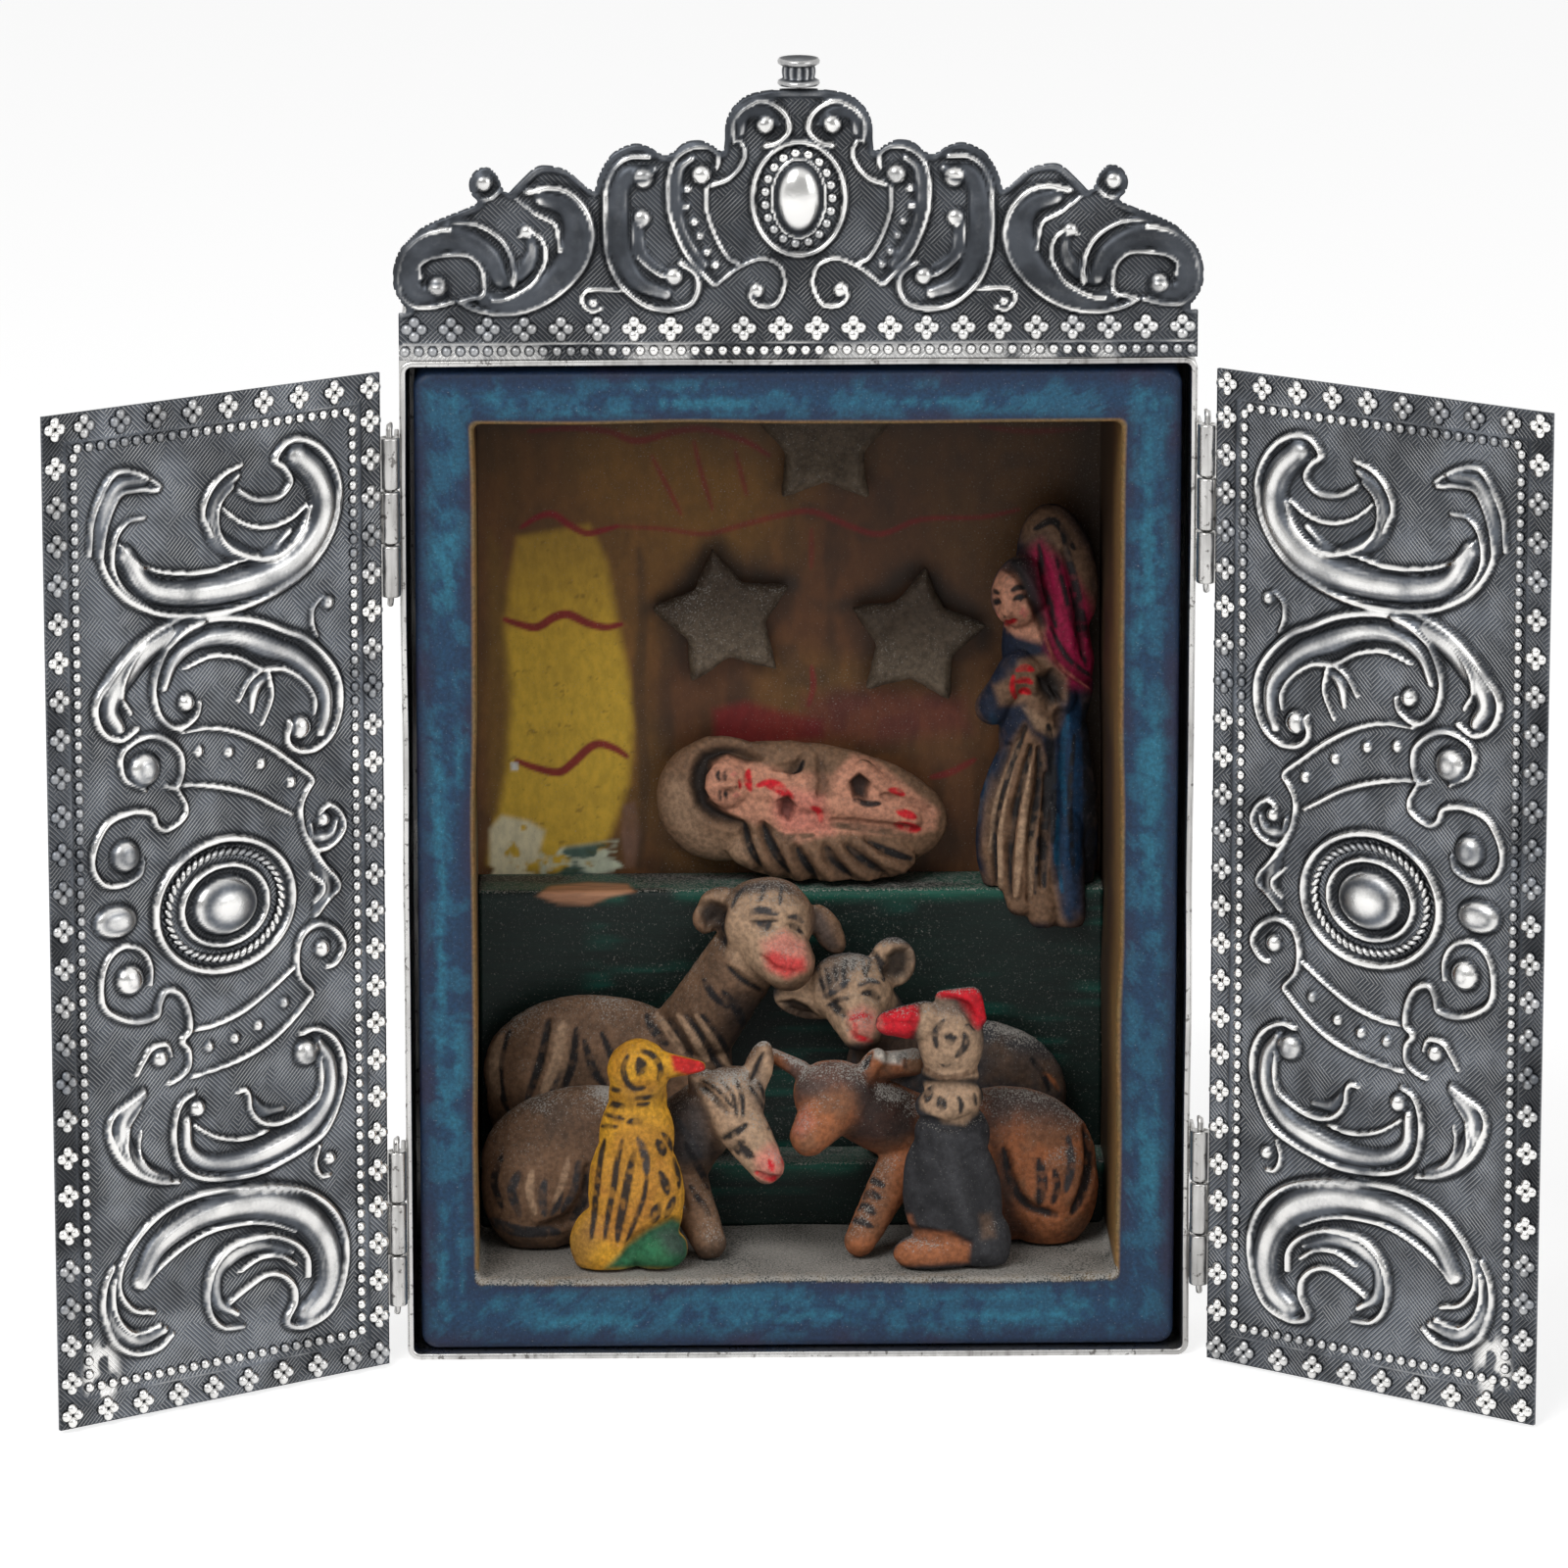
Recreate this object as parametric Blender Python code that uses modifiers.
"""Silver nativity scene: a small standing altar case with an embossed crest, two embossed doors on
wire hinges, and a painted niche that holds clay figures on two steps.

Metres, +Z up, front towards -Y. The origin is the centre of the case's bottom face.
"""

import math

import bmesh
import bpy
from mathutils import Matrix, Vector

MM = 0.001
CLEARANCE = 0.3 * MM  # left between separate pieces that rest on each other

# Silver case
CASE_WIDTH = 100.5 * MM
CASE_HEIGHT = 130.7 * MM
SHEET = 0.8 * MM
CASE_CORNER = 1.6 * MM

# Painted wooden niche inside the case
NICHE_RECESS = 1.2 * MM
NICHE_DEPTH = 42.3 * MM
NICHE_SIDE_GAP = 1.1 * MM
NICHE_TOP_GAP = 1.0 * MM
SIDE_BOARD = 7.5 * MM
TOP_BOARD = 6.8 * MM
BOTTOM_BOARD = 9.3 * MM
BACK_BOARD = 3.0 * MM
RIM_ROUND = 0.9 * MM
FOOT_ROUND = 2.4 * MM
SHELF_DEPTH = 9.7 * MM
SHELF_HEIGHT = 43.2 * MM
STEP_DEPTH = 8.3 * MM
STEP_HEIGHT = 8.4 * MM

# Crest
CREST_WIDTH = 102.0 * MM
CREST_HEIGHT = 34.3 * MM
CREST_FOOT_DEPTH = 6.0 * MM
CREST_FOOT_MARGIN = 4.0 * MM
FINIAL_HEIGHT = 3.4 * MM
FINIAL_RADIUS = 2.35 * MM
FINIAL_COLLAR = 0.3 * MM
# How many collars each level of the finial stands out, and its height as a share of the finial's.
FINIAL_LEVELS = ((1, 0.0), (1, 0.14), (-1, 0.26), (0, 0.55), (1, 0.7), (1, 0.88), (0, 1.0))
FINIAL_SIDES = 14

# Doors
HINGE_OUTSET = 1.15 * MM  # axis outside the case's side
HINGE_FRONT = 1.4 * MM  # axis in front of the case
DOOR_START = 1.6 * MM  # from the axis to the edge of the sheet
DOOR_MEETING_GAP = 0.6 * MM
DOOR_BOTTOM_GAP = 0.5 * MM
DOOR_TOP_GAP = 1.0 * MM
LEFT_DOOR_OPEN = 145.3  # degrees from closed, as it stands
RIGHT_DOOR_OPEN = 141.7
BORDER_WIDTH = 3.2 * MM
BORDER_HEIGHT = 0.3 * MM
BORDER_INSET = 0.2 * MM  # plain edge outside the border
TAB_SHEET = 0.6 * MM  # rolled into the door's knuckles
TAB_LAP = 1.6 * MM  # how far a tab is rooted in the sheet

# Hinges
KNUCKLE_LENGTH = 6.6 * MM
KNUCKLE_RADIUS = 1.3 * MM
KNUCKLE_BORE = 0.75 * MM
KNUCKLE_GAP = 0.3 * MM
KNUCKLE_SIDES = 8
LEAF_SHEET = 0.6 * MM
LEAF_REACH = 4.0 * MM
PIN_RADIUS = 0.42 * MM
PIN_END = 1.7 * MM
PIN_BEND = 0.75 * MM
PIN_LEAN = 0.22 * MM
LEFT_HINGE_HEIGHTS = (18.2 * MM, CASE_HEIGHT - 19.7 * MM)  # the lower from the bottom, the upper from the top
RIGHT_HINGE_HEIGHTS = (20.2 * MM, CASE_HEIGHT - 18.5 * MM)

# Clay stars on the niche's back board: across, how far under the ceiling, turn in degrees
STAR_POINTS = 5
STAR_RADIUS = 9.6 * MM
STAR_WAIST = 0.56
STAR_THICKNESS = 3.6 * MM
STAR_EDGE = 0.9 * MM
STAR_PLACES = (
    ("star_left", -8.6 * MM, 33.7 * MM, 9.0),
    ("star_right", 16.5 * MM, 36.5 * MM, -8.0),
    ("star_top", 4.6 * MM, 9.9 * MM, 0.0),
)

# Derived places
CASE_DEPTH = NICHE_RECESS + NICHE_DEPTH + BACK_BOARD + CLEARANCE + SHEET
FRONT_Y = -CASE_DEPTH / 2
BACK_Y = CASE_DEPTH / 2
CASE_SIDE_X = CASE_WIDTH / 2
NICHE_OUTER_X = CASE_SIDE_X - SHEET - NICHE_SIDE_GAP
NICHE_INNER_X = NICHE_OUTER_X - SIDE_BOARD
NICHE_FRONT_Y = FRONT_Y + NICHE_RECESS
NICHE_BACK_Y = NICHE_FRONT_Y + NICHE_DEPTH
NICHE_BOTTOM = SHEET + CLEARANCE
NICHE_FLOOR = NICHE_BOTTOM + BOTTOM_BOARD
NICHE_TOP = CASE_HEIGHT - SHEET - NICHE_TOP_GAP
NICHE_CEILING = NICHE_TOP - TOP_BOARD
SHELF_TOP = NICHE_FLOOR + SHELF_HEIGHT
SHELF_FRONT_Y = NICHE_BACK_Y - SHELF_DEPTH
STEP_TOP = NICHE_FLOOR + STEP_HEIGHT
STEP_FRONT_Y = SHELF_FRONT_Y - STEP_DEPTH
HINGE_X = CASE_SIDE_X + HINGE_OUTSET
HINGE_Y = FRONT_Y - HINGE_FRONT
DOOR_WIDTH = HINGE_X - DOOR_START - DOOR_MEETING_GAP / 2
DOOR_HEIGHT = CASE_HEIGHT - DOOR_BOTTOM_GAP - DOOR_TOP_GAP
DOOR_FACE = SHEET / 2
RELIEF_ROOT = SHEET / 2  # how deep a ridge or boss is rooted in its sheet

# Embossed lines are drawn on a panel of this size, in millimetres, and scaled to the real sheet.
DRAWN_DOOR_WIDTH = 50.0
DRAWN_DOOR_HEIGHT = 125.5
DRAWN_CREST_WIDTH = 103.8
DRAWN_CREST_HEIGHT = 34.5
DOOR_TOLERANCE = 0.45  # how far a bead may leave its drawn line
CREST_TOLERANCE = 0.6

RIDGE = (1.3 * MM, 0.8 * MM)  # width and height of a polished line
THIN_RIDGE = (1.0 * MM, 0.6 * MM)
STRAP = (1.1 * MM, 0.7 * MM)

# Door lines: width and height of the bead, and its points from the free edge and the bottom.
DOOR_LINES = (
    # upper scroll
    (RIDGE, ((16.5, 114.8), (10.5, 114.5), (8.3, 110), (8.2, 106.5), (11, 102.5), (15.5, 100),
                    (20, 99), (30, 99.3), (35, 100.8), (39, 103), (42, 106.5), (43.4, 110.5), (43, 114),
                    (41, 117), (38, 118.6), (35.5, 118.4), (33.8, 116))),
    (RIDGE, ((17, 115.9), (14, 117.3), (10, 117.5), (7, 113), (6.3, 108))),
    (RIDGE, ((29, 116.5), (26, 115.5), (23.8, 113.5), (23, 111), (24, 108.5))),
    (RIDGE, ((27.5, 114), (25.5, 112), (25, 109.5), (26, 107.3), (28.5, 105.6), (32.5, 104.6),
                    (36, 106), (38, 108), (39, 110.3))),
    # scroll under it
    (RIDGE, ((22.2, 88), (21.5, 86.3), (19, 85.2), (16.5, 86.8), (15.4, 90), (16, 93), (18, 96),
                    (21.5, 97.8), (26, 98), (31, 97), (38, 94), (41, 91.5), (43, 88.5), (43.3, 85),
                    (42, 81.7), (39.5, 80), (37, 80.1), (35.3, 81.5))),
    (RIDGE, ((20, 92.5), (24, 93.5), (28, 92.8), (31.5, 91), (35, 90.5), (38, 88.5), (39.3, 84.5))),
    (RIDGE, ((24, 99.9), (20, 98.6), (15, 97.2), (11, 94.6), (7.5, 91), (6.8, 88.5), (8, 86), (10.5, 84.9),
                    (13, 86))),
    (THIN_RIDGE, ((28.5, 87.5), (29.5, 90), (32, 90.8), (33, 88), (31.5, 84.8))),
    # upper strap with its neck and volutes
    (STRAP, ((14, 78.2), (11, 80), (10.5, 83), (13, 84.6), (20, 84.8), (28, 83.5), (32, 81.5),
                    (36, 78.7), (39, 76.3), (37.3, 73.5), (37.3, 71), (38.3, 68.5), (40, 67.3), (42.3, 68),
                    (43.7, 69.8), (43, 71.7), (41.5, 72.7))),
    (STRAP, ((12.8, 67.8), (10, 66.9), (7.5, 67.5), (6, 69.8), (6.5, 72.5), (8.5, 75), (12, 75.8),
                    (15.5, 73.7), (17, 72.9), (19.5, 74), (20, 75.5), (18.5, 78), (26, 76.9), (30, 75.5),
                    (35.8, 72.3))),
    (STRAP, ((38.5, 68.5), (40, 66), (42.8, 62.5), (40.5, 60.5), (38.5, 58.2))),
    # lower strap with its neck and volutes
    (STRAP, ((14.3, 54), (14.3, 56.5), (13, 58.5), (10.3, 59.3), (8, 58), (7, 55.5), (7.2, 52.5),
                    (9, 50.8), (12, 49.7), (15, 50), (16.5, 52.9), (18.5, 52.3), (19.8, 50), (20.3, 47.3),
                    (24, 47.6), (28, 48.7), (32, 50.7), (35.8, 53))),
    (STRAP, ((16.8, 41.2), (20.2, 41.5), (28, 42.8), (32, 44.3), (38.7, 49.3), (36.8, 51.5),
                    (36.3, 54), (37, 56.8), (39.5, 58), (42, 57), (43.5, 54.8), (42.3, 52.8))),
    # scroll under the lower strap
    (RIDGE, ((13, 41), (8, 38), (8.5, 34), (11, 31), (14.5, 29.2), (18, 28.6))),
    (THIN_RIDGE, ((12.5, 39), (10.5, 36.5), (10.4, 33.5), (12.3, 31.2))),
    (RIDGE, ((21.5, 39.5), (18.5, 38.5), (17.5, 36), (17.5, 33), (18.5, 30.5), (21, 28.8), (25, 28),
                    (30, 28), (37, 30), (40, 31.5), (42, 34.5), (43.2, 38), (43, 41), (41.5, 43.5), (39, 44.8),
                    (36.8, 44.5))),
    (RIDGE, ((27, 38.5), (28.5, 38.5), (29, 36), (30.5, 34.3), (33, 33.7), (36, 34.3), (39, 36),
                    (39.5, 41))),
    # bottom scroll
    (RIDGE, ((14, 12.7), (11, 13.5), (9, 16), (9, 18.5), (10.3, 21), (13, 23.7), (16.5, 25.6), (21, 26.5),
                    (27, 26.4), (33, 25.7), (38, 24), (41.5, 21), (43.2, 17), (42.8, 12.5), (41, 9), (38.5, 7.5),
                    (36, 7.2), (35.3, 10.5), (33.5, 14.2), (31, 14.7), (28, 13.5))),
    (RIDGE, ((16.8, 9.5), (14.5, 8), (11, 8), (8, 10), (6.5, 13.5), (6.7, 17), (8, 19.5))),
    (RIDGE, ((27.5, 8.7), (24.5, 9), (22.5, 11), (22, 14), (22.8, 17), (25, 19), (28, 19.7), (32, 19.5),
                    (35.5, 18), (37.5, 13.5))),
)

# Raised bodies of the door's scrolls: width, height, and the points of their middle line.
DOOR_BODIES = (
    (4.4 * MM, 1.3 * MM, ((14, 103.6), (22, 101.8), (30, 102), (36, 103.5), (40, 107), (41, 110.5),
                          (38.5, 115.4))),
    (3.6 * MM, 1.2 * MM, ((18, 91.5), (20, 94.8), (26, 95.6), (32, 94), (37, 91.5), (40.8, 87.5),
                          (40.8, 83.5))),
    (3.4 * MM, 1.2 * MM, ((20, 33.5), (23, 30.6), (28, 30), (33, 31), (38, 33), (41, 37), (40.8, 41))),
    (4.4 * MM, 1.3 * MM, ((12, 18.5), (16, 22.6), (22, 24.2), (30, 24), (36, 22), (40, 18), (40.6, 13.5),
                          (38.8, 10))),
)

# Round bosses of the door: place, half width, half height across the door, and rise.
DOOR_BOSSES = (
    (13.8, 80.8, 2.2, 2.2, 1.5), (10.8, 70.5, 2.0, 2.0, 1.4), (9.2, 62.6, 3.2, 2.2, 1.4),
    (11.2, 55, 2.0, 2.0, 1.4), (37.2, 83, 1.6, 1.6, 1.3), (20.2, 88.3, 1.2, 1.2, 1.0),
    (37.5, 42, 1.8, 1.8, 1.3), (15.5, 45, 1.4, 1.4, 1.1), (21, 37.5, 1.2, 1.2, 1.0),
)
CABOCHON = (25.5, 62.4, 4.8, 3.9, 2.4)
CABOCHON_RINGS = ((10.3, 8.2), (6.3, 4.9))

# Left half of the crest's outline, from the middle of its foot outwards and up, in millimetres.
CREST_OUTLINE = (
    (0, 0), (-51, 0), (-51, 6), (-49.5, 6.3), (-51.2, 8), (-51.9, 10.8), (-50.6, 14.5), (-48, 17), (-45, 18.5),
    (-40.6, 20), (-42, 22.3), (-41.3, 24.2), (-39.3, 24.6), (-37.9, 22.8), (-37, 21.3), (-35, 23.2),
    (-32.5, 24.9), (-29.5, 24.3), (-26, 21.6), (-25, 24.5), (-23.5, 26.5), (-21, 27.6), (-16.5, 26.2),
    (-14.5, 27.7), (-12.5, 28), (-9.6, 26.3), (-9.3, 30), (-8.5, 32), (-6.5, 33.7), (-3, 34.5), (0, 34.5),
)
# Left half of the crest's lines.
CREST_LINES = (
    (RIDGE, ((-44, 7.6), (-46.5, 7.0), (-49, 7.2), (-50.5, 9), (-50.9, 11.5), (-49.8, 14.2), (-47.5, 16.2),
                    (-44.5, 17), (-41, 17.5), (-38, 15.5), (-36.5, 12.8), (-36.3, 9.5))),
    (RIDGE, ((-48, 10.5), (-48.2, 12.3), (-46, 13.3), (-42.5, 13.5), (-40.5, 12), (-40, 9.5),
                    (-42, 7.4), (-41, 6.5), (-37, 5.9), (-33, 6.8), (-29.5, 9.3), (-27, 12.5), (-26.2, 16),
                    (-27, 19), (-29.5, 21.2), (-33, 21.8))),
    (THIN_RIDGE, ((-35.5, 15.8), (-34, 16.3), (-32.5, 15), (-32.3, 12.5), (-34, 9.8), (-37, 8))),
    (RIDGE, ((-19, 25.8), (-22, 25.5), (-24.3, 23), (-24.8, 19), (-24.5, 14), (-23, 10), (-20, 7.2),
                    (-17, 6.4), (-14, 7), (-12.8, 9), (-13.2, 11), (-15, 12.3))),
    (THIN_RIDGE, ((-21, 16.5), (-20.5, 13), (-18, 11), (-16.5, 10.5))),
    (RIDGE, ((-10.2, 24.6), (-11.5, 26.9), (-14, 26.6), (-16, 25), (-16.7, 21), (-16, 17), (-14, 13),
                    (-11, 9.7))),
    (THIN_RIDGE, ((-11.7, 21.5), (-11.7, 19), (-10.5, 15.5), (-7.8, 12.6))),
    (THIN_RIDGE, ((-10.5, 9.5), (-8, 11.5), (-5, 12.8), (-2.5, 12), (-1.8, 9.5), (-3, 7), (-5, 6.8),
                         (-6, 8.5))),
    (RIDGE, ((-8.9, 27.2), (-8.7, 30), (-7, 32.1), (-4.5, 32.9), (-2, 31.5), (-1.4, 29.3), (-3.2, 27.5),
                    (-6.5, 27), (-7.2, 24.5), (-9, 23), (-11, 22.3))),
)
CREST_BODIES = (
    (3.4 * MM, 1.1 * MM, ((-47, 8.4), (-49, 11), (-46.5, 14.8), (-42, 15.6), (-38.4, 12.5))),
    (3.4 * MM, 1.1 * MM, ((-38, 7.4), (-33, 8.8), (-29.5, 12.5), (-28.6, 16.5), (-31, 19.8))),
    (2.8 * MM, 1.0 * MM, ((-20.5, 24), (-22.8, 20), (-22.6, 14.5), (-20.5, 10), (-16.5, 8))),
)
CREST_BOSSES = (
    (-12.4, 23.6, 1.3, 1.3, 1.1), (-19.6, 23.4, 1.5, 1.5, 1.2), (-4.3, 29.9, 1.3, 1.3, 1.1),
    (-46, 9.6, 1.3, 1.3, 1.1), (-15.5, 10.4, 1.3, 1.3, 1.0), (-40.2, 22.6, 1.2, 1.2, 0.9),
)
CREST_CABOCHON = (0, 20.5, 2.9, 4.5, 1.9)
CREST_RINGS = ((5.9, 7.2),)
CREST_BAND = ((-50.6, 1.9), (50.6, 1.9))

# Clay figures: balls are (centre, radii, tilt in degrees about the depth axis), limbs are
# (start, radius, end, radius). Millimetres: across, depth behind the case's front, height over
# the figure's own seat. They are drawn for a niche of this half width, and fill the real one.
DRAWN_NICHE_HALF = 40.85
FIGURE_VOXEL = 0.6 * MM
FIGURE_SOFTENING = 4  # smoothing passes
BALL_SIDES = 20
BALL_LEVELS = 12
LIMB_BALLS = 7
LIMB_SIDES = 14
LIMB_LEVELS = 9
OX = (
    ((-25, 28.9, 11.0), (15.5, 4.5, 11.0), 8),
    ((-33, 28.9, 8.5), (7.0, 4.6, 9.5), 0),
    ((-13.5, 28.3, 11.5), (5.8, 4.4, 11.5), 0),
    ((-12, 28, 18.5), 5.2, (-5.5, 25.5, 29), 4.8),
    ((-3.6, 24.2, 33.0), (6.9, 5.2, 5.7), -8),
    ((-3.0, 22.5, 31.0), 4.6, (-1.2, 19.8, 29.0), 3.5),
    ((-9.3, 25.5, 35.8), 2.4, (-11.2, 25.8, 35.0), 1.7),
    ((1.5, 26, 35.5), 2.2, (4.6, 26.6, 33.0), 1.9),
)
DONKEY = (
    ((22.5, 29.2, 8.5), (13.5, 4.2, 10.0), 0),
    ((12, 28.6, 10), (5.2, 4.0, 10.0), 0),
    ((13, 28, 14.5), 4.6, (9.3, 23.6, 22.5), 4.0),
    ((7.6, 21.5, 24.2), (5.0, 4.2, 4.2), 25),
    ((7.8, 20, 23.0), 3.6, (8.7, 17.2, 20.6), 2.5),
    ((3.5, 23, 25.4), 2.0, (-0.6, 22.6, 22.6), 2.3),
    ((11.0, 23.5, 26.2), 2.0, (13.3, 23.3, 28.3), 2.5),
)
CALF = (
    ((-26, 17.2, 10.6), (14.8, 4.8, 10.8), 4),
    ((-33.5, 17, 8.0), (7.3, 5.0, 9.0), 0),
    ((-15.5, 16.6, 13.5), 5.6, (-9.8, 12.0, 20.5), 4.2),
    ((-8.8, 10.4, 21.4), (4.5, 4.0, 4.4), -30),
    ((-8.2, 9.6, 19.5), 3.8, (-3.6, 6.4, 13.4), 2.4),
    ((-11.4, 11.6, 23.2), 1.7, (-13.0, 11.8, 24.8), 0.9),
    ((-6.2, 11.0, 24.4), 1.8, (-3.9, 10.8, 27.7), 0.9),
    ((-15, 15.5, 10), 3.4, (-11.2, 10.4, 2.0), 2.2),
)
BULL = (
    ((27, 17.6, 10.4), (12.3, 4.8, 10.4), -4),
    ((33, 17.4, 7.5), (6.5, 5.0, 8.5), 0),
    ((15.5, 16.8, 15.2), 4.9, (6.5, 13.4, 20.3), 4.4),
    ((5.2, 12.2, 20.9), (5.6, 3.7, 4.9), 20),
    ((4.2, 11.4, 19.5), 3.8, (1.6, 9.0, 16.6), 2.4),
    ((0.6, 13.4, 24.2), 1.2, (-4.0, 14.6, 26.6), 0.8),
    ((8.8, 12.4, 23.8), 1.5, (10.4, 12.6, 26.0), 1.2),
    ((10.2, 13.8, 24.6), 1.9, (15.2, 14.4, 25.0), 1.8),
    ((14, 14.6, 12), 3.0, (8.2, 10.2, 2.2), 2.1),
)
YELLOW_BIRD = (
    ((-24.4, 7, 3.4), (4.9, 3.5, 5.2), 12),
    ((-20.7, 7, 9.8), (6.2, 3.6, 9.6), -4),
    ((-20.6, 7, 17.5), (4.9, 3.6, 6.5), 0),
    ((-20.4, 7, 22.6), (3.8, 3.3, 4.5), 0),
    ((-20.3, 7, 26.2), (4.0, 3.3, 4.1), 0),
    ((-17.6, 6.7, 26.9), 1.9, (-12.4, 6.3, 26.8), 0.75),
    ((-17.9, 6.3, 2.6), (3.9, 3.0, 3.0), 0),
)
ROOSTER = (
    ((19.8, 7.2, 2.0), 3.6, (19.8, 7.2, 17), 3.5),
    ((20.1, 7.2, 9.0), (6.4, 3.6, 10.4), -8),
    ((24.0, 7.2, 3.0), (3.7, 3.3, 4.8), 0),
    ((20.0, 7.2, 17.2), (4.9, 3.5, 4.6), 0),
    ((19.6, 7.2, 21.8), (4.5, 3.9, 2.7), -14),
    ((19.8, 7.2, 29.6), (4.1, 3.5, 5.2), 0),
    ((16.4, 6.9, 32.4), 2.7, (11.6, 6.4, 32.4), 1.6),
    ((18.8, 7.3, 35.4), 1.1, (22.4, 7.3, 35.4), 1.5),
    ((22.4, 7.3, 35.4), 1.5, (23.3, 7.3, 32.8), 1.1),
    ((17.2, 5.8, 1.9), (4.9, 3.0, 2.5), 0),
)
INFANT = (
    ((1.8, 39.3, 9.9), (19.2, 3.3, 8.8), 7),
    ((-9.0, 39.0, 11.2), (8.6, 3.4, 8.4), 0),
    ((-9.2, 36.6, 13.6), (3.5, 2.6, 3.1), 10),
    ((-5.6, 37.0, 13.2), 1.9, (2.5, 37.0, 11.8), 2.8),
    ((2.5, 37.0, 11.8), 2.6, (15.5, 37.4, 8.8), 2.0),
    ((6.0, 37.0, 12.8), 1.5, (9.5, 36.8, 15.6), 1.3),
    ((9.5, 36.8, 15.6), 1.4, (15.0, 37.3, 11.2), 1.2),
    ((-3.0, 36.4, 11.5), 1.3, (1.4, 36.0, 7.4), 1.1),
)
MOTHER = (
    ((31.2, 36.6, 4), 3.6, (31.4, 37, 24), 4.4),
    ((29.6, 35.8, 9.5), (5.2, 3.6, 12.0), 8),
    ((35.4, 37.6, 13), (4.6, 4.0, 18.0), -6),
    ((33.6, 37.4, 30), (6.0, 4.2, 12.5), -4),
    ((34.8, 37.6, 41.5), (5.0, 4.2, 9.0), -10),
    ((29.4, 34.8, 40.2), (3.5, 3.6, 4.5), 14),
    ((26.4, 35.4, 24), 2.4, (29.0, 33.8, 29.4), 2.1),
    ((35, 34.6, 25.5), 2.3, (29.6, 33.4, 30.0), 2.0),
)

SILVER_COLOUR = (0.42, 0.43, 0.44, 1.0)
SILVER_EDGE_COLOUR = (0.72, 0.71, 0.69, 1.0)
RIM_COLOUR = (0.10, 0.28, 0.46, 1.0)
WALL_COLOUR = (0.34, 0.22, 0.08, 1.0)
SHELF_COLOUR = (0.04, 0.13, 0.11, 1.0)
CLAY_COLOUR = (0.30, 0.21, 0.15, 1.0)


def clear_scene():
    """Start from an empty scene."""
    for item in list(bpy.data.objects):
        bpy.data.objects.remove(item, do_unlink=True)


def make_material(name, colour, roughness, metallic):
    """Principled material of one colour."""
    material = bpy.data.materials.new(name)
    material.use_nodes = True
    shader = material.node_tree.nodes["Principled BSDF"]
    shader.inputs["Base Color"].default_value = colour
    shader.inputs["Roughness"].default_value = roughness
    shader.inputs["Metallic"].default_value = metallic
    return material


def add_object(name, mesh, material, home, parent=None):
    """Put a mesh in the scene as one named piece."""
    piece = bpy.data.objects.new(name, mesh)
    mesh.materials.clear()
    mesh.materials.append(material)
    home.objects.link(piece)
    piece.parent = parent
    return piece


def mesh_from(bm, name):
    """Turn a bmesh into a mesh with its faces outwards."""
    bmesh.ops.recalc_face_normals(bm, faces=bm.faces)
    mesh = bpy.data.meshes.new(name)
    bm.to_mesh(mesh)
    bm.free()
    return mesh


def box_mesh(name, low, high):
    """Box between two corners."""
    bm = bmesh.new()
    bmesh.ops.create_cube(bm, size=1.0)
    centre = [(a + b) / 2 for a, b in zip(low, high)]
    size = [b - a for a, b in zip(low, high)]
    bmesh.ops.transform(bm, matrix=Matrix.LocRotScale(centre, None, size), verts=bm.verts)
    return mesh_from(bm, name)


def round_edges(mesh, chosen, radius, segments):
    """Round the edges of a mesh whose two ends pass the test."""
    bm = bmesh.new()
    bm.from_mesh(mesh)
    edges = [edge for edge in bm.edges if all(chosen(vert.co) for vert in edge.verts)]
    bmesh.ops.bevel(bm, geom=edges, offset=radius, segments=segments, profile=0.5, affect="EDGES")
    bm.to_mesh(mesh)
    bm.free()


def mesh_of_curve(curve):
    """Closed mesh of a curve, with its caps joined on."""
    holder = bpy.data.objects.new(curve.name, curve)
    bpy.context.scene.collection.objects.link(holder)
    bpy.context.view_layer.update()
    mesh = bpy.data.meshes.new_from_object(holder.evaluated_get(bpy.context.evaluated_depsgraph_get()))
    bpy.data.objects.remove(holder, do_unlink=True)
    bpy.data.curves.remove(curve)
    bm = bmesh.new()
    bm.from_mesh(mesh)
    bmesh.ops.remove_doubles(bm, verts=bm.verts, dist=0.001 * MM)
    bmesh.ops.recalc_face_normals(bm, faces=bm.faces)
    bm.to_mesh(mesh)
    bm.free()
    return mesh


def flat_mesh(name, loops, thickness, bevel=0.0):
    """Flat plate of one outline and its holes, drawn in X and Y, centred on Z = 0."""
    curve = bpy.data.curves.new(name, "CURVE")
    curve.dimensions = "2D"
    curve.fill_mode = "BOTH"
    curve.extrude = thickness / 2 - bevel
    curve.bevel_depth = bevel
    curve.bevel_resolution = 0
    curve.offset = -bevel
    for loop in loops:
        spline = curve.splines.new("POLY")
        spline.points.add(len(loop) - 1)
        spline.use_cyclic_u = True
        for point, (x, y) in zip(spline.points, loop):
            point.co = (x, y, 0, 1)
    return mesh_of_curve(curve)


def wire_mesh(name, points, radius, sides_step, closed=False, flat=True):
    """Round bar along points, with filled ends; a flat one keeps its ridge upright."""
    curve = bpy.data.curves.new(name, "CURVE")
    curve.dimensions = "3D"
    curve.twist_mode = "Z_UP" if flat else "MINIMUM"
    curve.fill_mode = "FULL"
    curve.bevel_depth = radius
    curve.bevel_resolution = sides_step
    curve.use_fill_caps = not closed
    spline = curve.splines.new("POLY")
    spline.points.add(len(points) - 1)
    spline.use_cyclic_u = closed
    for point, place in zip(spline.points, points):
        point.co = (*place, 1)
    return mesh_of_curve(curve)


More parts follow.
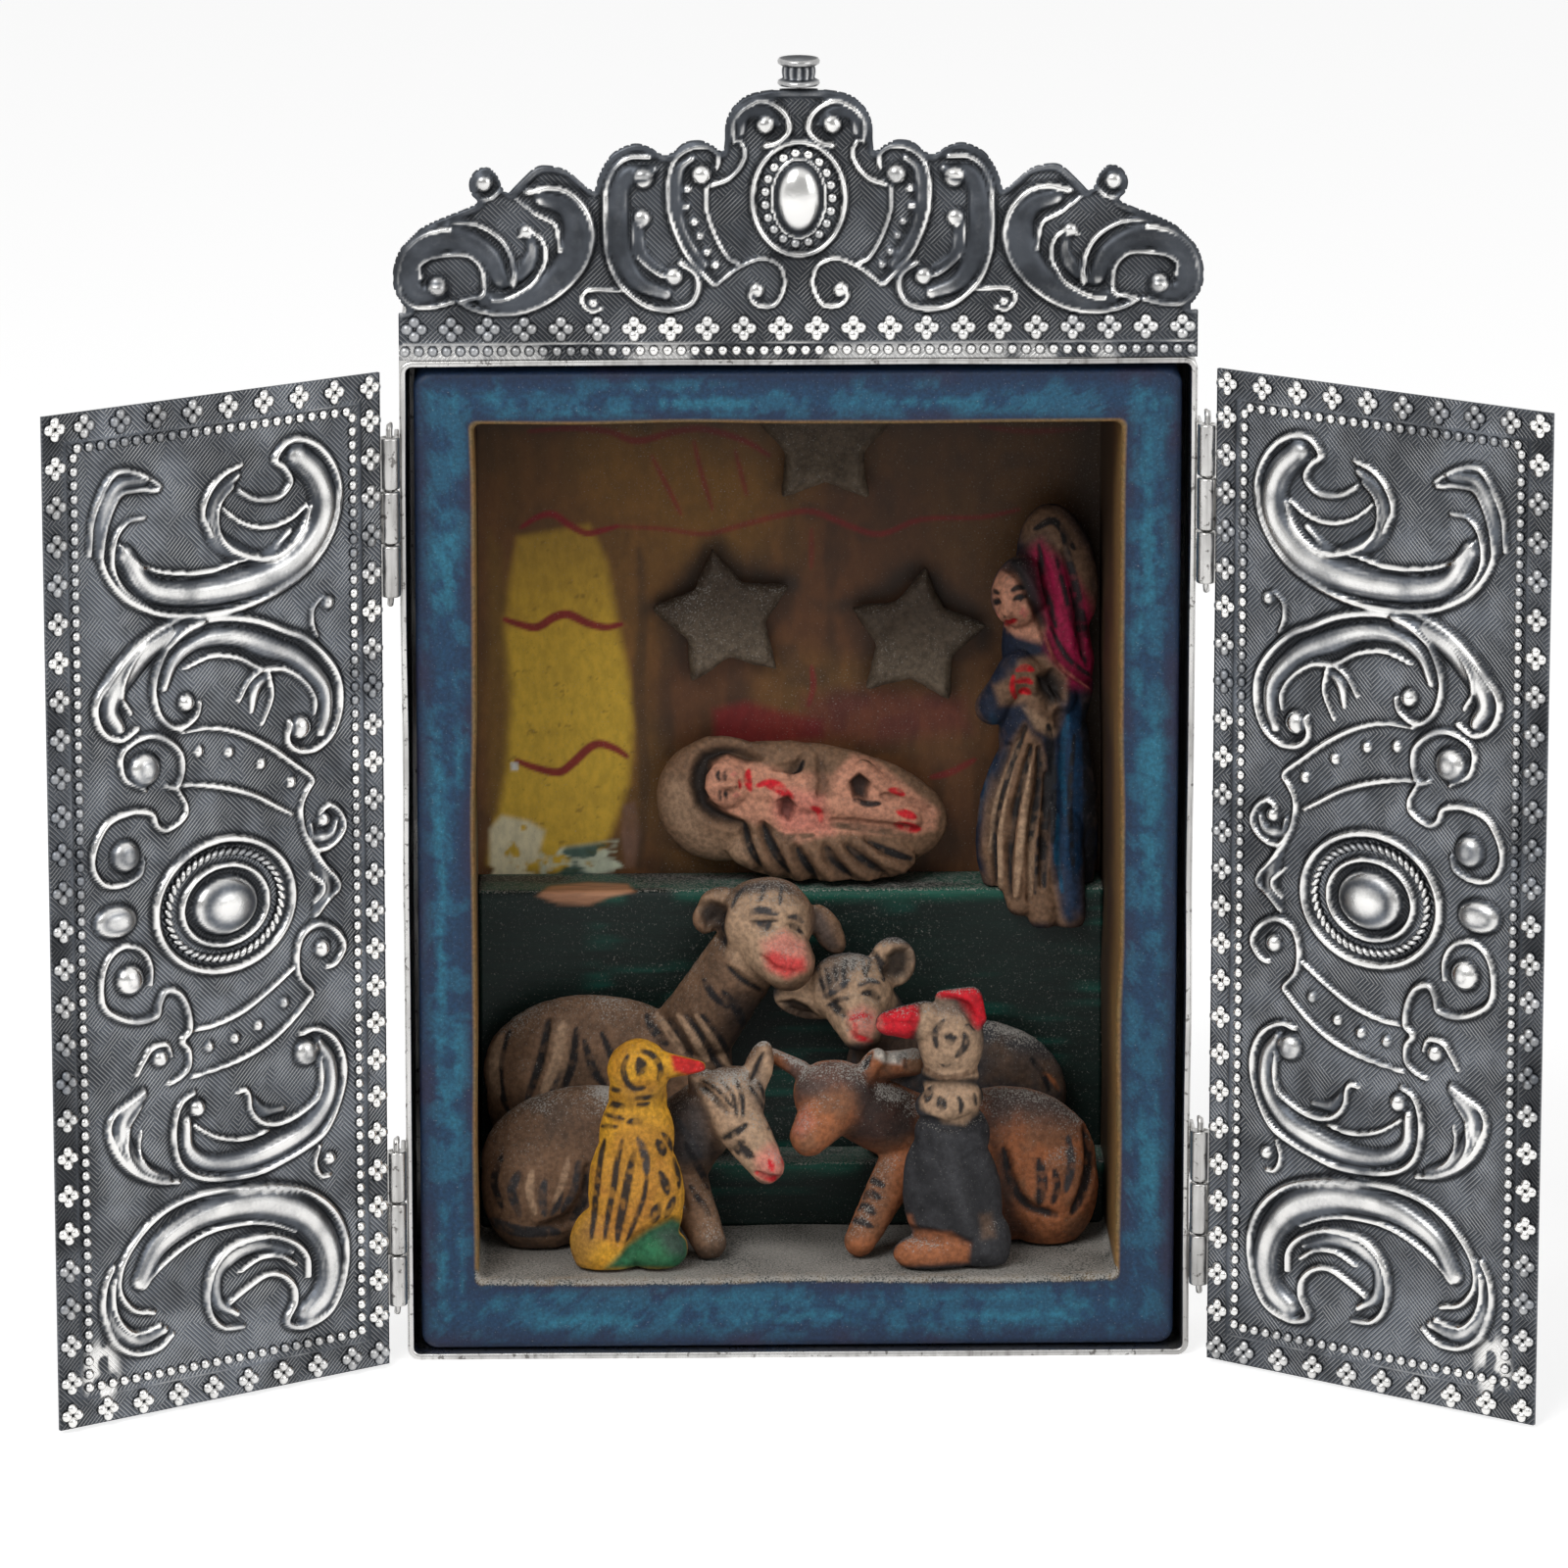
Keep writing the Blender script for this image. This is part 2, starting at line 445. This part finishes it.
def polygon(radius_x, radius_y, sides, centre=(0.0, 0.0)):
    """Corners of a round or oval outline."""
    corners = []
    for index in range(sides):
        angle = 2 * math.pi * index / sides
        corners.append((centre[0] + radius_x * math.cos(angle), centre[1] + radius_y * math.sin(angle)))
    return corners


def rounded_rectangle(left, right, bottom, top, radius, steps=3):
    """Rectangle with round corners."""
    corners = ((right - radius, top - radius, 0), (left + radius, top - radius, 90),
               (left + radius, bottom + radius, 180), (right - radius, bottom + radius, 270))
    outline = []
    for x, y, start in corners:
        for step in range(steps + 1):
            angle = math.radians(start + 90 * step / steps)
            outline.append((x + radius * math.cos(angle), y + radius * math.sin(angle)))
    return outline


def smooth_path(points, steps=6):
    """Smooth curve through points, as a dense list."""
    last = len(points) - 1
    path = []
    for span in range(last):
        before, start, end, after = (Vector(points[min(max(span + shift, 0), last)]) for shift in (-1, 0, 1, 2))
        for step in range(steps):
            t = step / steps
            path.append(0.5 * (2 * start + (end - before) * t
                               + (2 * before - 5 * start + 4 * end - after) * t ** 2
                               + (3 * start - before - 3 * end + after) * t ** 3))
    path.append(Vector(points[-1]))
    return path


def thin_path(path, tolerance):
    """Fewest of the path's points that stay within the tolerance of it."""
    if len(path) < 3:
        return path
    start, end = path[0], path[-1]
    chord = end - start
    furthest, index = 0.0, 0
    for place in range(1, len(path) - 1):
        offset = path[place] - start
        if chord.length < tolerance:
            distance = offset.length
        else:
            distance = abs(offset.x * chord.y - offset.y * chord.x) / chord.length
        if distance > furthest:
            furthest, index = distance, place
    if furthest <= tolerance:
        return [start, end]
    return thin_path(path[:index + 1], tolerance)[:-1] + thin_path(path[index:], tolerance)


def raise_off(mesh, height_ratio):
    """Flatten a round bar into a low bead and cut its root flat."""
    for vert in mesh.vertices:
        vert.co.z = max(vert.co.z * height_ratio, -RELIEF_ROOT)


def line_mesh(points, width, height, scale, tolerance):
    """Embossed bead along a drawn line."""
    path = thin_path(smooth_path(points), tolerance)
    places = [(place.x * scale[0], place.y * scale[1], 0.0) for place in path]
    mesh = wire_mesh("line", places, width / 2, 0)
    raise_off(mesh, height / (width / 2))
    return mesh


def ring_mesh(centre, radii, width, height, scale, sides=16):
    """Embossed oval ring."""
    middle = (centre[0] * scale[0], centre[1] * scale[1])
    corners = polygon(radii[0] * scale[0], radii[1] * scale[1], sides, middle)
    mesh = wire_mesh("ring", [(x, y, 0.0) for x, y in corners], width / 2, 0, closed=True)
    raise_off(mesh, height / (width / 2))
    return mesh


def cut_flat(bm, height):
    """Take away what lies under a height, and close the cut."""
    cut = bmesh.ops.bisect_plane(bm, geom=bm.verts[:] + bm.edges[:] + bm.faces[:], plane_co=(0, 0, height),
                                 plane_no=(0, 0, 1), clear_inner=True)
    rim = [item for item in cut["geom_cut"] if isinstance(item, bmesh.types.BMEdge)]
    bmesh.ops.holes_fill(bm, edges=rim)


def boss_mesh(boss, scale, segments=6, levels=4):
    """Embossed round boss."""
    x, y, half_width, half_height, rise = boss
    bm = bmesh.new()
    bmesh.ops.create_uvsphere(bm, u_segments=segments, v_segments=levels, radius=1.0)
    size = (half_width * MM, half_height * MM, rise * MM)
    place = Matrix.LocRotScale((x * scale[0], y * scale[1], 0.0), None, size)
    bmesh.ops.transform(bm, matrix=place, verts=bm.verts)
    cut_flat(bm, -RELIEF_ROOT / 2)
    return mesh_from(bm, "boss")


def united(name, base, additions):
    """One closed mesh of a base and the meshes that are raised on it."""
    home = bpy.data.collections.new("additions")
    bpy.context.scene.collection.children.link(home)
    for mesh in additions:
        home.objects.link(bpy.data.objects.new("addition", mesh))
    body = bpy.data.objects.new(name, base)
    bpy.context.scene.collection.objects.link(body)
    join = body.modifiers.new("join", "BOOLEAN")
    join.operation = "UNION"
    join.solver = "EXACT"
    join.operand_type = "COLLECTION"
    join.collection = home
    bpy.context.view_layer.update()
    mesh = bpy.data.meshes.new_from_object(body.evaluated_get(bpy.context.evaluated_depsgraph_get()))
    for item in list(home.objects) + [body]:
        bpy.data.objects.remove(item, do_unlink=True)
    bpy.data.collections.remove(home)
    bm = bmesh.new()
    bm.from_mesh(mesh)
    bmesh.ops.triangulate(bm, faces=bm.faces)
    bmesh.ops.dissolve_degenerate(bm, edges=bm.edges, dist=0.001 * MM)
    bmesh.ops.triangulate(bm, faces=bm.faces)
    bm.to_mesh(mesh)
    bm.free()
    return mesh


def mirrored(points):
    """The same points on the other side of the middle."""
    return tuple((-x, y) for x, y in points)


def stand_up(mesh, x, y, z):
    """Turn a plate drawn in X and Y to stand in X and Z with its face to the front, and place it."""
    mesh.transform(Matrix.Translation((x, y, z)) @ Matrix.Rotation(math.radians(90), 4, "X"))


def build_case(home, silver):
    """Bent side band and the back plate."""
    outer = rounded_rectangle(-CASE_SIDE_X, CASE_SIDE_X, 0, CASE_HEIGHT, CASE_CORNER)
    inner = rounded_rectangle(-CASE_SIDE_X + SHEET, CASE_SIDE_X - SHEET, SHEET, CASE_HEIGHT - SHEET,
                              CASE_CORNER - SHEET)
    band_depth = CASE_DEPTH - SHEET
    band = flat_mesh("case_side_band", (outer, inner), band_depth)
    stand_up(band, 0, FRONT_Y + band_depth / 2, 0)
    add_object("case_side_band", band, silver, home)
    back = flat_mesh("case_back_plate", (outer,), SHEET)
    stand_up(back, 0, BACK_Y - SHEET / 2, 0)
    add_object("case_back_plate", back, silver, home)


def crest_relief(scale):
    """Embossed lines, bodies and bosses of the whole crest."""
    relief = []
    for side in (tuple, mirrored):
        for (width, height), points in CREST_LINES:
            relief.append(line_mesh(side(points), width, height, scale, CREST_TOLERANCE))
        for width, height, points in CREST_BODIES:
            relief.append(line_mesh(side(points), width, height, scale, CREST_TOLERANCE))
    for boss in CREST_BOSSES:
        relief.append(boss_mesh(boss, scale))
        relief.append(boss_mesh((-boss[0],) + boss[1:], scale))
    relief.append(boss_mesh(CREST_CABOCHON, scale, 10, 6))
    for radii in CREST_RINGS:
        relief.append(ring_mesh(CREST_CABOCHON[:2], radii, *RIDGE, scale))
    relief.append(line_mesh(CREST_BAND, *THIN_RIDGE, scale, CREST_TOLERANCE))
    return relief


def build_crest(home, silver):
    """Embossed crest sheet on the case's front edge, and its finial."""
    scale = (CREST_WIDTH / DRAWN_CREST_WIDTH, CREST_HEIGHT / DRAWN_CREST_HEIGHT)
    outline = [(x * scale[0], y * scale[1]) for x, y in CREST_OUTLINE]
    outline += [(-x, y) for x, y in reversed(outline[1:-1])]
    plate = flat_mesh("crest_plate", (outline,), SHEET)
    for vert in plate.vertices:
        vert.co.z -= SHEET / 2
    foot_half = CREST_WIDTH / 2 - CREST_FOOT_MARGIN
    foot = box_mesh("foot", (-foot_half, 0, -CREST_FOOT_DEPTH), (foot_half, SHEET, -SHEET / 2))
    crest = united("crest_plate", plate, crest_relief(scale) + [foot])
    stand_up(crest, 0, FRONT_Y, CASE_HEIGHT)
    add_object("crest_plate", crest, silver, home)

    seat = CASE_HEIGHT + CREST_HEIGHT + CLEARANCE
    profile = [(0, 0)]
    for collars, share in FINIAL_LEVELS:
        profile.append((FINIAL_RADIUS + collars * FINIAL_COLLAR, share * FINIAL_HEIGHT))
    profile.append((0, FINIAL_HEIGHT))
    bm = bmesh.new()
    verts = [bm.verts.new((radius, 0, height)) for radius, height in profile]
    for first, second in zip(verts, verts[1:]):
        bm.edges.new((first, second))
    bmesh.ops.spin(bm, geom=bm.verts[:] + bm.edges[:], cent=(0, 0, 0), axis=(0, 0, 1), angle=math.radians(360),
                   steps=FINIAL_SIDES, use_merge=True)
    bmesh.ops.remove_doubles(bm, verts=bm.verts, dist=0.001 * MM)
    finial = add_object("crest_finial", mesh_from(bm, "crest_finial"), silver, home)
    finial.location = (0, FRONT_Y + SHEET / 2, seat)


def build_niche(home, rim, wall, green):
    """Boards of the painted box, and its two steps."""
    half = NICHE_OUTER_X
    inner = NICHE_INNER_X

    def front_edge(co, side_x=None, side_z=None):
        at_front = abs(co.y - NICHE_FRONT_Y) < CLEARANCE
        at_side = side_x is None or abs(co.x - side_x) < CLEARANCE
        at_level = side_z is None or abs(co.z - side_z) < CLEARANCE
        return at_front and at_side and at_level

    bottom = box_mesh("niche_bottom_board", (-half, NICHE_FRONT_Y, NICHE_BOTTOM),
                      (half, NICHE_BACK_Y, NICHE_FLOOR))
    round_edges(bottom, lambda co: front_edge(co, side_z=NICHE_BOTTOM), FOOT_ROUND, 3)
    add_object("niche_bottom_board", bottom, rim, home)
    top = box_mesh("niche_top_board", (-half, NICHE_FRONT_Y, NICHE_CEILING), (half, NICHE_BACK_Y, NICHE_TOP))
    round_edges(top, lambda co: front_edge(co, side_z=NICHE_TOP), RIM_ROUND, 2)
    add_object("niche_top_board", top, rim, home)
    for name, side in (("niche_left_board", -1), ("niche_right_board", 1)):
        low_x, high_x = sorted((side * inner, side * half))
        board = box_mesh(name, (low_x, NICHE_FRONT_Y, NICHE_FLOOR), (high_x, NICHE_BACK_Y, NICHE_CEILING))
        round_edges(board, lambda co, edge=side * half: front_edge(co, side_x=edge), RIM_ROUND, 2)
        add_object(name, board, rim, home)
    back = box_mesh("niche_back_board", (-half, NICHE_BACK_Y, NICHE_BOTTOM),
                    (half, NICHE_BACK_Y + BACK_BOARD, NICHE_TOP))
    add_object("niche_back_board", back, wall, home)
    shelf = box_mesh("upper_shelf", (-inner, SHELF_FRONT_Y, NICHE_FLOOR), (inner, NICHE_BACK_Y, SHELF_TOP))
    round_edges(shelf, lambda co: abs(co.y - SHELF_FRONT_Y) + abs(co.z - SHELF_TOP) < CLEARANCE, RIM_ROUND, 2)
    add_object("upper_shelf", shelf, green, home)
    step = box_mesh("lower_step", (-inner, STEP_FRONT_Y, NICHE_FLOOR), (inner, SHELF_FRONT_Y, STEP_TOP))
    round_edges(step, lambda co: abs(co.y - STEP_FRONT_Y) + abs(co.z - STEP_TOP) < CLEARANCE, RIM_ROUND, 2)
    add_object("lower_step", step, green, home)


def build_stars(home, clay):
    """Chunky clay stars on the back board."""
    for name, x, drop, turn in STAR_PLACES:
        outline = []
        for index in range(2 * STAR_POINTS):
            angle = math.radians(90 + turn + 180 * index / STAR_POINTS)
            radius = STAR_RADIUS if index % 2 == 0 else STAR_RADIUS * STAR_WAIST
            outline.append((radius * math.cos(angle), radius * math.sin(angle)))
        star = flat_mesh(name, (outline,), STAR_THICKNESS, STAR_EDGE)
        stand_up(star, x, NICHE_BACK_Y - CLEARANCE - STAR_THICKNESS / 2, NICHE_CEILING - drop)
        add_object(name, star, clay, home)


def figure_mesh(name, shapes, seat, faces):
    """Modelled clay figure: round masses pressed together, standing flat on its seat."""
    bm = bmesh.new()
    for shape in shapes:
        if len(shape) == 3:
            centre, radii, tilt = shape
            turn = Matrix.Rotation(math.radians(tilt), 4, "Y")
            size = Matrix.Diagonal((*(Vector(radii) * MM), 1.0))
            place = Matrix.Translation(Vector(centre) * MM) @ turn @ size
            bmesh.ops.create_uvsphere(bm, u_segments=BALL_SIDES, v_segments=BALL_LEVELS, radius=1.0, matrix=place)
            continue
        start, start_radius, end, end_radius = shape
        for ball in range(LIMB_BALLS):
            share = ball / (LIMB_BALLS - 1)
            centre = Vector(start).lerp(Vector(end), share) * MM
            radius = (start_radius + (end_radius - start_radius) * share) * MM
            bmesh.ops.create_uvsphere(bm, u_segments=LIMB_SIDES, v_segments=LIMB_LEVELS, radius=radius,
                                      matrix=Matrix.Translation(centre))
    body = bpy.data.objects.new(name, mesh_from(bm, name))
    bpy.context.scene.collection.objects.link(body)
    fuse = body.modifiers.new("fuse", "REMESH")
    fuse.mode = "VOXEL"
    fuse.voxel_size = FIGURE_VOXEL
    soften = body.modifiers.new("soften", "SMOOTH")
    soften.factor = 0.5
    soften.iterations = FIGURE_SOFTENING
    bpy.context.view_layer.update()
    dense = body.evaluated_get(bpy.context.evaluated_depsgraph_get())
    dense_faces = sum(len(face.vertices) - 2 for face in dense.data.polygons)
    coarsen = body.modifiers.new("coarsen", "DECIMATE")
    coarsen.ratio = faces / dense_faces
    coarsen.use_collapse_triangulate = True
    bpy.context.view_layer.update()
    mesh = bpy.data.meshes.new_from_object(body.evaluated_get(bpy.context.evaluated_depsgraph_get()))
    bpy.data.objects.remove(body, do_unlink=True)

    bm = bmesh.new()
    bm.from_mesh(mesh)
    spread = Matrix.Diagonal((NICHE_INNER_X / (DRAWN_NICHE_HALF * MM), 1.0, 1.0, 1.0))
    bmesh.ops.transform(bm, matrix=Matrix.Translation((0, FRONT_Y, seat)) @ spread, verts=bm.verts)
    cut_flat(bm, seat + CLEARANCE)
    bmesh.ops.triangulate(bm, faces=bm.faces)
    bmesh.ops.dissolve_degenerate(bm, edges=bm.edges, dist=0.01 * MM)
    bmesh.ops.triangulate(bm, faces=bm.faces)
    bm.to_mesh(mesh)
    bm.free()
    return mesh


def build_figures(home, clay):
    """Animals on the floor and the lower step, infant and mother on the shelf."""
    figures = (
        ("ox_back_left", OX, STEP_TOP, 380),
        ("donkey_back_right", DONKEY, STEP_TOP, 350),
        ("calf_front_left", CALF, NICHE_FLOOR, 380),
        ("bull_front_right", BULL, NICHE_FLOOR, 380),
        ("yellow_bird", YELLOW_BIRD, NICHE_FLOOR, 260),
        ("black_rooster", ROOSTER, NICHE_FLOOR, 300),
        ("infant_in_cradle", INFANT, SHELF_TOP, 350),
        ("mother_figure", MOTHER, SHELF_TOP, 380),
    )
    for name, shapes, seat, faces in figures:
        add_object(name, figure_mesh(name, shapes, seat, faces), clay, home)


def knuckle_mesh(name):
    """One rolled hinge knuckle, standing on Z = 0 round the axis."""
    outer = polygon(KNUCKLE_RADIUS, KNUCKLE_RADIUS, KNUCKLE_SIDES)
    bore = polygon(KNUCKLE_BORE, KNUCKLE_BORE, KNUCKLE_SIDES)
    mesh = flat_mesh(name, (outer, bore), KNUCKLE_LENGTH)
    for vert in mesh.vertices:
        vert.co.z += KNUCKLE_LENGTH / 2
    return mesh


def knuckle_bottoms(middle):
    """Heights of the lower case knuckle, the door's knuckle and the upper case knuckle."""
    pitch = KNUCKLE_LENGTH + KNUCKLE_GAP
    start = middle - KNUCKLE_LENGTH / 2
    return start - pitch, start, start + pitch


def build_hinges(home, silver, side_name, side, heights):
    """Case knuckles and wire pins of one side."""
    for level, middle in zip(("lower", "upper"), heights):
        low, _door, high = knuckle_bottoms(middle)
        for place, bottom in (("bottom", low), ("top", high)):
            name = f"{side_name}_{level}_{place}_knuckle"
            leaf_x = sorted((-side * HINGE_OUTSET, -side * (HINGE_OUTSET - LEAF_SHEET)))
            leaf = box_mesh("leaf", (leaf_x[0], HINGE_FRONT / 2, 0),
                            (leaf_x[1], HINGE_FRONT + LEAF_REACH, KNUCKLE_LENGTH))
            knuckle = united(name, knuckle_mesh(name), [leaf])
            piece = add_object(name, knuckle, silver, home)
            piece.location = (side * HINGE_X, HINGE_Y, bottom)
        pin_low = low - PIN_END
        pin_high = high + KNUCKLE_LENGTH + PIN_END
        points = ((side * PIN_LEAN, PIN_BEND, pin_low + PIN_RADIUS), (0, 0, pin_low + PIN_BEND),
                  (0, 0, pin_high - PIN_BEND), (-side * PIN_LEAN, PIN_BEND, pin_high))
        pin = wire_mesh(f"{side_name}_{level}_pin", points, PIN_RADIUS, 1, flat=False)
        piece = add_object(f"{side_name}_{level}_pin", pin, silver, home)
        piece.location = (side * HINGE_X, HINGE_Y, 0)


def door_relief(scale):
    """Embossed lines, bodies, bosses and border of one door, drawn from its free edge."""
    relief = []
    for (width, height), points in DOOR_LINES:
        relief.append(line_mesh(points, width, height, scale, DOOR_TOLERANCE))
    for width, height, points in DOOR_BODIES:
        relief.append(line_mesh(points, width, height, scale, DOOR_TOLERANCE))
    for boss in DOOR_BOSSES:
        relief.append(boss_mesh(boss, scale))
    relief.append(boss_mesh(CABOCHON, scale, 12, 6))
    for radii in CABOCHON_RINGS:
        relief.append(ring_mesh(CABOCHON[:2], radii, *RIDGE, scale))
    return relief


def build_door(home, silver, side_name, side, opened, heights):
    """One embossed door on its hinge axis, standing open as it is seen."""
    axis = bpy.data.objects.new(f"{side_name}_door_axis", None)
    home.objects.link(axis)
    axis.location = (side * HINGE_X, HINGE_Y, 0)
    axis.rotation_euler = (0, 0, side * math.radians(opened))
    scale = (DOOR_WIDTH / DRAWN_DOOR_WIDTH, DOOR_HEIGHT / DRAWN_DOOR_HEIGHT)
    plate = box_mesh("plate", (0, 0, -SHEET), (DOOR_WIDTH, DOOR_HEIGHT, 0))
    outline = [rounded_rectangle(inset, DOOR_WIDTH - inset, inset, DOOR_HEIGHT - inset, BORDER_INSET, 1)
               for inset in (BORDER_INSET, BORDER_WIDTH)]
    border = flat_mesh("border", outline, BORDER_HEIGHT + RELIEF_ROOT)
    for vert in border.vertices:
        vert.co.z += (BORDER_HEIGHT - RELIEF_ROOT) / 2
    knuckles = []
    for middle in heights:
        # Before the sheet is stood up, its length runs along Y and its face looks along +Z.
        bottom = knuckle_bottoms(middle)[1] - DOOR_BOTTOM_GAP
        knuckle = knuckle_mesh("knuckle")
        knuckle.transform(Matrix.Rotation(math.radians(-90), 4, "X"))
        knuckle.transform(Matrix.Translation((DOOR_WIDTH + DOOR_START, bottom, -DOOR_FACE)))
        knuckles.append(knuckle)
        reach = (KNUCKLE_RADIUS + KNUCKLE_BORE) / 2
        knuckles.append(box_mesh("tab", (DOOR_WIDTH - TAB_LAP, bottom, -DOOR_FACE - TAB_SHEET / 2),
                                 (DOOR_WIDTH + DOOR_START - reach, bottom + KNUCKLE_LENGTH,
                                  -DOOR_FACE + TAB_SHEET / 2)))
    mesh = united(f"{side_name}_door", plate, door_relief(scale) + [border] + knuckles)
    # The drawing runs from the free edge to the hinge; its face ends up towards the closed niche.
    for vert in mesh.vertices:
        across = DOOR_WIDTH + DOOR_START - vert.co.x
        vert.co = (-side * across, vert.co.z + DOOR_FACE, vert.co.y + DOOR_BOTTOM_GAP)
    if side > 0:
        mesh.flip_normals()
    add_object(f"{side_name}_door", mesh, silver, home, parent=axis)


def main():
    """Model every piece."""
    clear_scene()
    home = bpy.data.collections.new("silver_nativity_scene")
    bpy.context.scene.collection.children.link(home)
    silver = make_material("oxidised_silver", SILVER_COLOUR, 0.38, 1.0)
    bright = make_material("bright_silver", SILVER_EDGE_COLOUR, 0.25, 1.0)
    rim = make_material("blue_painted_wood", RIM_COLOUR, 0.6, 0.0)
    wall = make_material("brown_painted_wood", WALL_COLOUR, 0.7, 0.0)
    green = make_material("green_painted_wood", SHELF_COLOUR, 0.7, 0.0)
    clay = make_material("painted_clay", CLAY_COLOUR, 0.85, 0.0)

    build_case(home, bright)
    build_crest(home, silver)
    build_niche(home, rim, wall, green)
    build_stars(home, clay)
    build_figures(home, clay)
    for side_name, side, opened, heights in (("left", -1, LEFT_DOOR_OPEN, LEFT_HINGE_HEIGHTS),
                                             ("right", 1, RIGHT_DOOR_OPEN, RIGHT_HINGE_HEIGHTS)):
        build_hinges(home, bright, side_name, side, heights)
        build_door(home, silver, side_name, side, opened, heights)


main()
